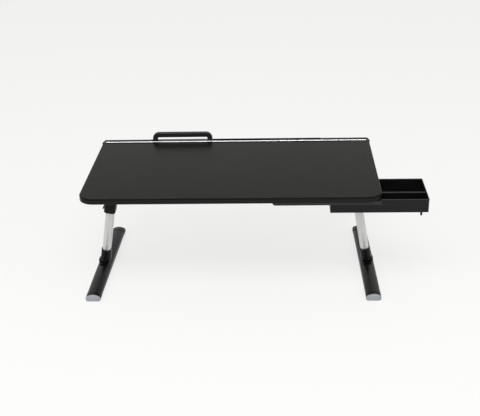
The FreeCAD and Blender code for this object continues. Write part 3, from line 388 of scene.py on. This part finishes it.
def skin(rings, wrap=False):
    # a closed surface through rings of equal count, each counter-clockwise seen from beyond the
    # last, with UV in metres round and along it. The ends are closed, or joined when it wraps
    rings = np.asarray(rings, float)
    rows, count = rings.shape[:2]
    steps = np.linalg.norm(np.roll(rings[0], -1, axis=0) - rings[0], axis=1)
    around = np.concatenate(([0], np.cumsum(steps))) * mm
    rises = np.linalg.norm(np.diff(rings[:, 0], axis=0), axis=1)
    along = np.concatenate(([0], np.cumsum(rises), [rises.sum()])) * mm
    faces, corners = [], []
    for row in range(rows if wrap else rows - 1):
        above = (row + 1) % rows
        for n in range(count):
            after = (n + 1) % count
            faces.append((row * count + n, row * count + after,
                          above * count + after, above * count + n))
            corners += [(around[n], along[row]), (around[n + 1], along[row]),
                        (around[n + 1], along[row + 1]), (around[n], along[row + 1])]
    if not wrap:
        last = (rows - 1) * count
        faces += [tuple(reversed(range(count))), tuple(range(last, last + count))]
        ends = np.concatenate([rings[0][::-1], rings[-1]]) * mm
        corners += [tuple(corner) for corner in ends[:, :2]]
    return rings.reshape(-1, 3), faces, corners


def lathe(profile, count=40):
    # rings about Z through radius and height pairs
    angle = np.linspace(0, 2 * math.pi, count, endpoint=False)
    circle = np.column_stack([np.cos(angle), np.sin(angle)])
    return [lifted(radius * circle, height) for radius, height in profile]


def makePiece(name, surfaces, place, node, *more, angle=30):
    # one object from surfaces in millimetres, brought into the frame, that stands for nodes
    points, faces, corners = [], [], []
    for surface, surfaceFaces, surfaceCorners in surfaces:
        start = sum(len(part) for part in points)
        points.append(surface)
        faces += [tuple(start + n for n in face) for face in surfaceFaces]
        corners += surfaceCorners
    mesh = bpy.data.meshes.new(name)
    mesh.from_pydata((np.concatenate(points) * mm).tolist(), [], faces)
    mesh.transform(place)
    layer = mesh.uv_layers.new(name="along")
    layer.data.foreach_set("uv", np.asarray(corners, float).ravel())
    mesh.shade_smooth()
    mesh.set_sharp_from_angle(angle=math.radians(angle))
    piece = bpy.data.objects.new(name, mesh)
    bpy.context.scene.collection.objects.link(piece)
    return dress(piece, node, *more)


def softCopy(node, bevel=0.0, angle=30, segments=2):
    # the node's solid with its loose triangles merged, edges eased and rounded faces shaded
    name = f"{node}_finished"
    mesh = nodes[node].data.copy()
    mesh.name = name
    mesh.materials.clear()
    shape = bmesh.new()
    shape.from_mesh(mesh)
    bmesh.ops.remove_doubles(shape, verts=shape.verts, dist=0.002 * mm)
    bmesh.ops.dissolve_limit(shape, angle_limit=math.radians(0.5), verts=shape.verts,
                             edges=shape.edges)
    shape.to_mesh(mesh)
    shape.free()
    mesh.shade_smooth()
    mesh.set_sharp_from_angle(angle=math.radians(angle))
    piece = bpy.data.objects.new(name, mesh)
    bpy.context.scene.collection.objects.link(piece)
    if bevel:
        ease = piece.modifiers.new("eased edges", "BEVEL")
        ease.width = bevel * mm
        ease.segments = segments
        ease.limit_method = "ANGLE"
        ease.angle_limit = math.radians(angle)
        ease.harden_normals = True
    else:
        even = piece.modifiers.new("even shading", "WEIGHTED_NORMAL")
        even.keep_sharp = True
    return dress(piece, node)


def dress(piece, node, *more):
    # finish of the node's slot, its body, and the nodes that the piece stands for
    piece.data.materials.append(materials[slotOf[node]])
    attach(piece, bodyOf[node])
    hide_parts(node, *more)
    return piece


def sizeOf(node):
    # a node's lowest corner, highest corner and middle, in millimetres
    low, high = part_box(node)
    low, high = Vector(low) / mm, Vector(high) / mm
    return low, high, (low + high) / 2


print("stage: frames of the legs")


def legPlaces(hand, side):
    # the upright, leaning and foot frames of a leg, with +X outboard and the pin as the origin
    pin = Vector(joints[f"{hand}_fold"]["pos_m"])
    upright = Matrix.Translation(pin) @ Matrix.Rotation(0 if side > 0 else math.pi, 4, "Z")
    down = joints[f"{hand}_height"]["axis"]
    leaning = upright @ Matrix.Rotation(-math.atan2(abs(down[0]), -down[2]), 4, "Y")
    front = sizeOf(f"foot_cap_front_{hand}")[2]
    rear = sizeOf(f"foot_cap_rear_{hand}")[2]
    middle = (front + rear) / 2 * mm
    forward = (rear - front) * side
    turn = math.atan2(-forward.x, forward.y)
    foot = Matrix.Translation((middle.x, middle.y, 0)) @ Matrix.Rotation(turn, 4, "Z")
    return upright, leaning, foot


places = {hand: legPlaces(hand, side) for hand, side in hands}


print("stage: tabletop pieces")
softCopy("tabletop_board", angle=35)

strip = {"grooves": (-0.24, 0.0, 0.24), "grooveWidth": 0.7, "grooveDepth": 0.25, "edge": 0.9}


def makeStrip():
    # an extrusion with eased upper edges and three fine grooves along its top
    low, high, middle = sizeOf("edge_strip")
    half, tall = (high.y - low.y) / 2, high.z - low.z
    edge, depth, width = strip["edge"], strip["grooveDepth"], strip["grooveWidth"]
    turn = np.linspace(0, math.pi / 2, 6)
    outline = [(-half, 0.0), (half, 0.0)]
    outline += [(half - edge + edge * math.cos(a), tall - edge + edge * math.sin(a)) for a in turn]
    for share in reversed(strip["grooves"]):
        centre = share * 2 * half
        outline += [(centre + width / 2, tall), (centre + width / 4, tall - depth),
                    (centre - width / 4, tall - depth), (centre - width / 2, tall)]
    outline += [(-half + edge - edge * math.sin(a), tall - edge + edge * math.cos(a))
                for a in turn]
    section = np.array(outline)
    rings = [np.column_stack([np.full(len(section), x), section]) for x in
             np.linspace(low.x - middle.x, high.x - middle.x, 2)]
    place = Matrix.Translation(Vector((middle.x, middle.y, low.z)) * mm)
    makePiece("edge_strip_finished", [skin(rings)], place, "edge_strip", angle=25)


makeStrip()
for node in ("edge_strip_end_left", "edge_strip_end_right"):
    softCopy(node, 0.25)
softCopy("stopper_well", 0.35)
for node in ("stopper_left", "stopper_right"):
    softCopy(node)
for node in ("drawer_rail_front", "drawer_rail_back"):
    softCopy(node, 0.4)


print("stage: screws")
crossScrew = {"shank": 1.5, "head": 3.0, "headHeight": 1.6, "slotHalf": 0.42, "slotReach": 1.9,
              "slotDepth": 1.1, "slotTaper": 0.62, "slotTip": 0.05, "edge": 0.18, "point": 1.6,
              "pointTip": 0.08}


def crossRadius(angle):
    # the outline of a cross: on each eighth turn, the nearer of an arm's end and its side
    folded = np.abs((angle + math.pi / 4) % (math.pi / 2) - math.pi / 4)
    side = crossScrew["slotHalf"] / np.maximum(np.sin(folded), 1e-6)
    return np.minimum(crossScrew["slotReach"] / np.cos(folded), side)


def screwSurface(x, y, low, high):
    # a countersunk screw with its cross recess underneath, from its head's face up to its point
    head, shank, edge = crossScrew["head"], crossScrew["shank"], crossScrew["edge"]
    angle = np.linspace(0, 2 * math.pi, 64, endpoint=False) + math.pi / 64
    cross = crossRadius(angle)
    deep = low + crossScrew["slotDepth"]
    point = high - crossScrew["point"]
    rows = [(cross * crossScrew["slotTip"], deep), (cross * crossScrew["slotTaper"], deep),
            (cross, low), (head - edge, low), (head, low + edge), (shank, low + crossScrew["headHeight"]),
            (shank, point), (shank * crossScrew["pointTip"], high)]
    rings = [np.column_stack([x + reach * np.cos(angle), y + reach * np.sin(angle),
                              np.full(len(angle), height)]) for reach, height in rows]
    return skin(rings)


def makeScrews(node, shares, place=Matrix()):
    # screws at shares of the way across the node's box, from head's edge to head's edge
    low, high, middle = sizeOf(node)
    head = crossScrew["head"]
    surfaces = [screwSurface(low.x + head + (high.x - low.x - 2 * head) * across,
                             low.y + head + (high.y - low.y - 2 * head) * deep, low.z, high.z)
                for across, deep in shares]
    makePiece(f"{node}_finished", surfaces, place, node)


def footScrews(hand, place):
    # two screws in a row along the foot, as far apart as their box is long
    node = f"foot_screws_{hand}"
    low, high, middle = sizeOf(node)
    turned = place.to_3x3() @ Vector((0, 1, 0))
    reach = (high.y - low.y) / 2 - crossScrew["head"]
    surfaces = [screwSurface(middle.x + turned.x * way * reach, middle.y + turned.y * way * reach,
                             low.z, high.z) for way in (-1, 1)]
    makePiece(f"{node}_finished", surfaces, Matrix(), node)


# shares of the well's inner screws: 60 mm of the 165 mm from the middle to the outer ones
wellScrews = {"inner": 60, "outer": 165}
wellShare = wellScrews["inner"] / (2 * wellScrews["outer"])
wellShares = [(0, 0.5), (0.5 - wellShare, 0.5), (0.5 + wellShare, 0.5), (1, 0.5)]
makeScrews("stopper_well_screws", wellShares)
makeScrews("drawer_rail_screws", [(x, y) for x in (0, 0.5, 1) for y in (0, 1)])
for hand, side in hands:
    makeScrews(f"bracket_screws_{hand}", [(x, y) for x in (0, 1) for y in (0, 1)])
    footScrews(hand, places[hand][2])


print("stage: drawer")
softCopy("drawer_tray", 0.5, segments=3)
peg = {"neckShare": 0.8, "neckTopShare": 0.9, "grooves": 3, "grooveDepth": 0.15,
       "grooveHalf": 0.3, "round": 0.9, "tip": 0.05}


def makePeg():
    # a small moulded peg: a neck under the tray, three fine grooves and a domed end
    low, high, middle = sizeOf("drawer_pull_peg")
    radius, tall = (high.x - low.x) / 2, high.z - low.z
    turn = np.linspace(0, math.pi / 2, 7)
    profile = [(max(radius - peg["round"] + peg["round"] * math.sin(a), peg["tip"]),
                peg["round"] * (1 - math.cos(a))) for a in turn]
    pitch = (tall * peg["neckShare"] - peg["round"]) / (peg["grooves"] + 1)
    for n in range(1, peg["grooves"] + 1):
        centre = peg["round"] + n * pitch
        profile += [(radius, centre - peg["grooveHalf"]), (radius - peg["grooveDepth"], centre),
                    (radius, centre + peg["grooveHalf"])]
    profile += [(radius, tall * peg["neckShare"]), (radius * peg["neckTopShare"], tall)]
    place = Matrix.Translation(Vector((middle.x, middle.y, low.z)) * mm)
    makePiece("drawer_pull_peg_finished", [skin(lathe(profile, 32))], place, "drawer_pull_peg",
              angle=35)


makePeg()


print("stage: folding and tilt joints")
button = {"rings": 3, "ringDepth": 0.25, "ringHalf": 0.3, "dish": 0.5, "edge": 0.8,
          "rim": 0.3, "wall": 1.2, "cap": 2, "tip": 0.05}


def makeButton(hand, side, upright):
    # a round push button, hollow for its spring, with a dished face, fine rings to grip, and
    # a softly rounded edge
    node = f"tilt_button_{hand}"
    low, high, middle = sizeOf(node)
    radius, long = (high.z - low.z) / 2, high.x - low.x
    edge = button["edge"]
    turn = np.linspace(0, math.pi / 2, 6)
    bore, roof = radius - button["wall"], long - button["cap"]
    rim, half, tip = button["rim"], button["ringHalf"], button["tip"]
    profile = [(tip, roof), (bore, roof), (bore, 0.0), (radius - rim, 0.0), (radius, rim)]
    profile += [(radius - edge + edge * math.cos(a), long - edge + edge * math.sin(a))
                for a in turn]
    ringRoom = (radius - edge) / (button["rings"] + 1)
    for n in range(button["rings"], 0, -1):
        centre = n * ringRoom
        sink = long - button["dish"] * (1 - (centre / radius) ** 2)
        profile += [(centre + half, sink), (centre, sink - button["ringDepth"]),
                    (centre - half, sink)]
    profile.append((tip, long - button["dish"]))
    outward = Matrix.Rotation(math.pi / 2, 4, "Y")
    inner = (low.x if side > 0 else high.x) * mm
    place = Matrix.Translation((inner, middle.y * mm, middle.z * mm)) \
        @ upright.to_3x3().to_4x4() @ outward
    makePiece(f"{node}_finished", [skin(lathe(profile, 48))], place, node, angle=35)


lever = {"ridges": 4, "ridgeHeight": 0.35, "ridgeWidth": 0.9, "pitch": 1.9, "splay": 20,
         "thick": 2.6, "long": 13.5, "margin": 0.8, "start": 0.5, "sunk": 0.1}


def makeLeverRidges(hand, side, leaning):
    # low ribs across the lever's free end, for a thumb to pull on
    node = f"clamp_lever_{hand}"
    low, high, middle = sizeOf(node)
    halfWide = (high.y - low.y) / 2 - lever["margin"]
    pivot = Vector(joints[f"{hand}_lever_flip"]["pos_m"])
    swing = Matrix.Translation(pivot) @ leaning.to_3x3().to_4x4() \
        @ Matrix.Rotation(-math.radians(lever["splay"]), 4, "Y")
    surfaces = []
    for n in range(lever["ridges"]):
        height = -lever["long"] + lever["start"] + n * lever["pitch"]
        half = lever["ridgeWidth"] / 2
        rise = [(0.0, half), (lever["ridgeHeight"] * 0.7, half * 0.8),
                (lever["ridgeHeight"], half * 0.4)]
        rings = []
        for out, halfTall in rise:
            x = lever["thick"] / 2 - lever["sunk"] + out
            wide = halfWide - (half - halfTall)
            rings.append(np.array([(x, -wide, height - halfTall), (x, wide, height - halfTall),
                                   (x, wide, height + halfTall), (x, -wide, height + halfTall)]))
        surfaces.append(skin(rings))
    makePiece(f"clamp_lever_ridges_{hand}", surfaces, swing, node, angle=50)


for hand, side in hands:
    upright, leaning, foot = places[hand]
    softCopy(f"fold_bracket_{hand}", 0.6, segments=3)
    softCopy(f"fold_pin_{hand}", 0.5, segments=3)
    softCopy(f"fold_knuckle_{hand}", 0.7, segments=3)
    softCopy(f"tilt_axle_{hand}", 0.5, segments=3)
    softCopy(f"button_spring_{hand}")
    makeButton(hand, side, upright)
    softCopy(f"tilt_head_{hand}", 0.7, segments=3)
    softCopy(f"tube_rivet_{hand}", 0.35, segments=3)
    softCopy(f"clamp_collar_{hand}", 0.7, segments=3)
    softCopy(f"brake_pad_{hand}", 0.15)
    softCopy(f"lever_pin_{hand}", 0.25)
    softCopy(f"clamp_lever_{hand}", 0.5, segments=3)
    makeLeverRidges(hand, side, leaning)


print("stage: tubes")
tubes = {
    # widths, depths and walls as in the CAD; the lip is the eased rim at each cut end
    "outer_tube": {"wide": 18.6, "deep": 24.0, "wall": 1.5, "roundShare": 0.46, "lip": 0.35},
    "inner_tube": {"wide": 14.0, "deep": 20.4, "wall": 1.3, "roundShare": 0.46, "lip": 0.35},
}


def makeTube(kind, hand, leaning):
    # a drawn oval tube: up its outside, over the eased rim, down its bore and back
    size = tubes[kind]
    node = f"{kind}_{hand}"
    mesh = nodes[node].data
    flat = np.empty(len(mesh.vertices) * 3)
    mesh.vertices.foreach_get("co", flat)
    inverse = np.array(leaning.inverted())
    local = flat.reshape(-1, 3) @ inverse[:3, :3].T + inverse[:3, 3]
    bottom, top = local[:, 2].min() / mm, local[:, 2].max() / mm
    wall, lip = size["wall"], size["lip"]
    path = [(bottom + lip, 0.0), (top - lip, 0.0), (top - lip * 0.3, lip * 0.3), (top, lip),
            (top, wall - lip), (top - lip, wall), (bottom + lip, wall), (bottom, wall - lip),
            (bottom, lip), (bottom + lip * 0.3, lip * 0.3)]
    rings = []
    for height, inset in path:
        halfWide, halfDeep = size["wide"] / 2 - inset, size["deep"] / 2 - inset
        rings.append(lifted(roundedRing(halfWide, halfDeep,
                                        size["roundShare"] * 2 * halfWide), height))
    makePiece(f"{node}_finished", [skin(rings, wrap=True)], leaning, node, angle=40)


for hand, side in hands:
    for kind in tubes:
        makeTube(kind, hand, places[hand][1])
    softCopy(f"foot_socket_{hand}", 0.9, segments=3)


print("stage: feet")
footShape = {
    # the foot's section and arch in millimetres, as in the CAD
    "width": 30.6, "tall": 17.8, "side": 12.3, "endDrop": 3.8, "pad": 1.2, "long": 330.0,
    "capThick": 4.0, "collarLong": 18.5, "collarEnd": 2.0, "proud": 0.3,
    "corner": 4.0, "shoulder": 1.7, "capEdge": 3.5,
}


def footRing(y, grow=0.0, inset=0.0):
    # the foot's section at a place along it, clockwise in X and Z so that rings run along +Y
    size = footShape
    half = size["width"] / 2 + grow
    sagitta = size["tall"] - size["side"]
    crownRadius = (half ** 2 + sagitta ** 2) / (2 * sagitta)
    archRadius = ((size["long"] / 2) ** 2 + size["endDrop"] ** 2) / (2 * size["endDrop"])
    drop = archRadius - math.sqrt(archRadius ** 2 - y ** 2)
    shoulderLevel = size["pad"] + size["side"] + grow - drop
    corner = size["corner"]
    # crown height over the shoulder: the circle through both shoulders, eased at its two ends
    x = np.linspace(half, -half, 33)
    crown = np.sqrt(crownRadius ** 2 - x ** 2) - (crownRadius - sagitta)
    near = np.clip((np.abs(x) - (half - corner)) / corner, 0, 1)
    crown = crown - size["shoulder"] * (1 - np.sqrt(1 - near ** 2))
    top = np.stack([x, shoulderLevel + crown], 1)
    low = size["pad"] - grow
    turn = np.linspace(0, math.pi / 2, 7)
    left = [(-half + corner - corner * math.cos(a), low + corner - corner * math.sin(a))
            for a in turn]
    right = [(half - corner + corner * math.sin(a), low + corner - corner * math.cos(a))
             for a in turn]
    outline = np.concatenate([top, left, right])
    if inset:
        middle = np.array([0.0, (low + shoulderLevel + sagitta) / 2])
        reach = np.linalg.norm(outline - middle, axis=1, keepdims=True)
        outline = middle + (outline - middle) * (1 - inset / reach)
    outline = outline[::-1]
    return np.column_stack([outline[:, 0], np.full(len(outline), y), outline[:, 1]])


def footLength(start, finish, grow=0.0, startEase=0.0, finishEase=0.0, step=18.0):
    # the surface between two places along the foot, with quarter-circle eased ends
    turn = np.linspace(0, math.pi / 2, 5)
    rows = []
    if startEase:
        rows += [(start + startEase * (1 - math.cos(a)), startEase * (1 - math.sin(a)))
                 for a in turn]
    else:
        rows.append((start, 0.0))
    inner = np.arange(start + startEase + step, finish - finishEase - step / 2, step)
    rows += [(y, 0.0) for y in inner]
    if finishEase:
        rows += [(finish - finishEase * (1 - math.cos(a)), finishEase * (1 - math.sin(a)))
                 for a in turn[::-1]]
    else:
        rows.append((finish, 0.0))
    return skin([footRing(y, grow, inset) for y, inset in rows])


padShape = {"wide": 18.0, "long": 42.0, "inset": 44.0, "pitch": 3.0,
            "treadDepth": 0.35, "treadShare": 0.35, "treadTaper": 0.7, "edge": 0.2}


def padSurface(centre):
    # a rubber pad with cross grooves in its lower face, one each pitch
    half, long = padShape["wide"] / 2, padShape["long"]
    tall = footShape["pad"]
    rows = [(-long / 2, 0.0)]
    count = int((long - padShape["pitch"]) / padShape["pitch"])
    groove = padShape["pitch"] * padShape["treadShare"] / 2
    taper, edge = padShape["treadTaper"], padShape["edge"]
    for n in range(count):
        y = (n + 1 - (count + 1) / 2) * padShape["pitch"]
        rows += [(y - groove, 0.0), (y - groove * taper, padShape["treadDepth"]),
                 (y + groove * taper, padShape["treadDepth"]), (y + groove, 0.0)]
    rows.append((long / 2, 0.0))
    rings = [np.array([(half, centre + y, tall), (half, centre + y, low + edge),
                       (half - edge, centre + y, low), (-half + edge, centre + y, low),
                       (-half, centre + y, low + edge), (-half, centre + y, tall)])
             for y, low in rows]
    return skin(rings)


def makeFoot(hand, side, foot):
    size = footShape
    half = size["long"] / 2
    capStart = half - size["capThick"]
    bodyEnd = capStart - size["collarEnd"]
    makePiece(f"foot_beam_{hand}_finished", [footLength(-bodyEnd, bodyEnd)], foot,
              f"foot_beam_{hand}")
    for end, way in (("front", -side), ("rear", side)):
        span = sorted((way * (capStart - size["collarLong"]), way * capStart))
        makePiece(f"foot_collar_{end}_{hand}_finished",
                  [footLength(*span, size["proud"], 0.4, 0.4, 6.0)], foot,
                  f"foot_collar_{end}_{hand}")
        span = sorted((way * capStart, way * half))
        eases = (0.0, size["capEdge"]) if way > 0 else (size["capEdge"], 0.0)
        makePiece(f"foot_cap_{end}_{hand}_finished",
                  [footLength(*span, size["proud"], *eases, 6.0)], foot,
                  f"foot_cap_{end}_{hand}")
    pads = [padSurface(way * (half - padShape["inset"])) for way in (-1, 1)]
    makePiece(f"foot_pads_{hand}_finished", pads, foot, f"foot_pads_{hand}")


for hand, side in hands:
    makeFoot(hand, side, places[hand][2])
